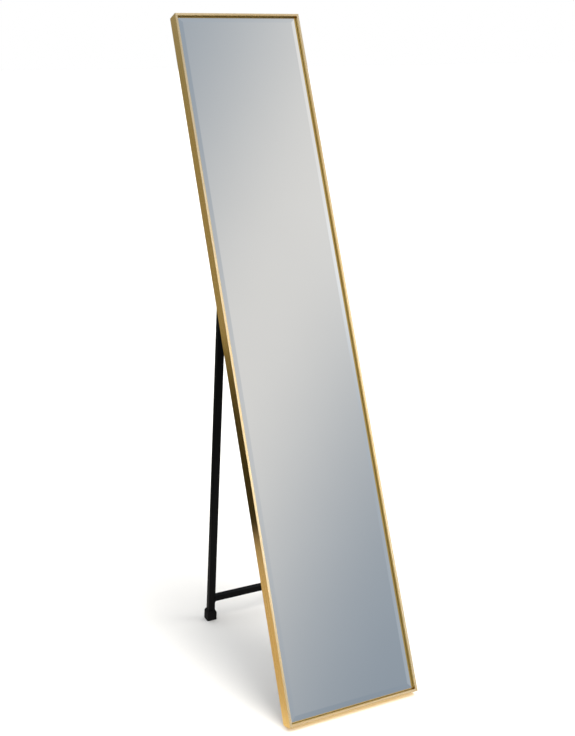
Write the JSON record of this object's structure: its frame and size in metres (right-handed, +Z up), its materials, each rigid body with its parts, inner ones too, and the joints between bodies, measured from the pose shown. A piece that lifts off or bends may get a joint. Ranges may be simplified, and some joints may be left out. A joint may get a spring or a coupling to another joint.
{
  "type": "free-standing full-length mirror",
  "caption": "Tall slim mirror with a deep gold metal frame and bevelled recessed glass, leaning back on a hinged black steel stand that folds flat.",
  "frame": {"origin": "on the floor, at the middle of the object's footprint box", "axes": "+Z up, the glass faces -Y and leans back towards +Y, +X across the mirror"},
  "size_m": [0.3, 0.5916, 1.4028],
  "materials": {
    "gold_metal": "brushed brass-gold plating, satin",
    "silvered_glass": "polished silvered glass with a ground bevel",
    "board": "black-faced fibreboard, matt",
    "tape": "white foam mounting tape",
    "black_steel": "black powder coat, matt, fine texture",
    "zinc_steel": "bright zinc plating",
    "nylon": "natural nylon",
    "black_plastic": "moulded black plastic",
    "black_rubber": "moulded black rubber, matt"
  },
  "bodies": {
    "mirror": {"rail_left": "gold_metal", "rail_right": "gold_metal", "rail_top": "gold_metal", "rail_bottom": "gold_metal", "corner_keys": "zinc_steel", "key_screws": "zinc_steel", "mirror_glass": "silvered_glass", "mounting_tape": "tape", "back_board": "board", "hinge_bracket_left": "black_steel", "hinge_bracket_right": "black_steel", "bracket_screws_left": "zinc_steel", "bracket_screws_right": "zinc_steel", "pivot_bolt_left": "zinc_steel", "pivot_bolt_right": "zinc_steel", "lock_nut_left": "zinc_steel", "lock_nut_right": "zinc_steel"},
    "stand": {"leg_left": "black_steel", "leg_right": "black_steel", "pivot_bushes_left": "nylon", "pivot_bushes_right": "nylon", "leg_plug_left": "black_plastic", "leg_plug_right": "black_plastic", "crossbar": "black_steel", "foot_boot_left": "black_rubber", "foot_boot_right": "black_rubber"}
  },
  "joints": [
    {"name": "stand_fold", "type": "hinge", "parent": "mirror", "child": "stand", "pos_m": [0, 0.09903, 0.87708], "axis": [-1, 0, 0], "range_deg": [0, 28]}
  ]
}
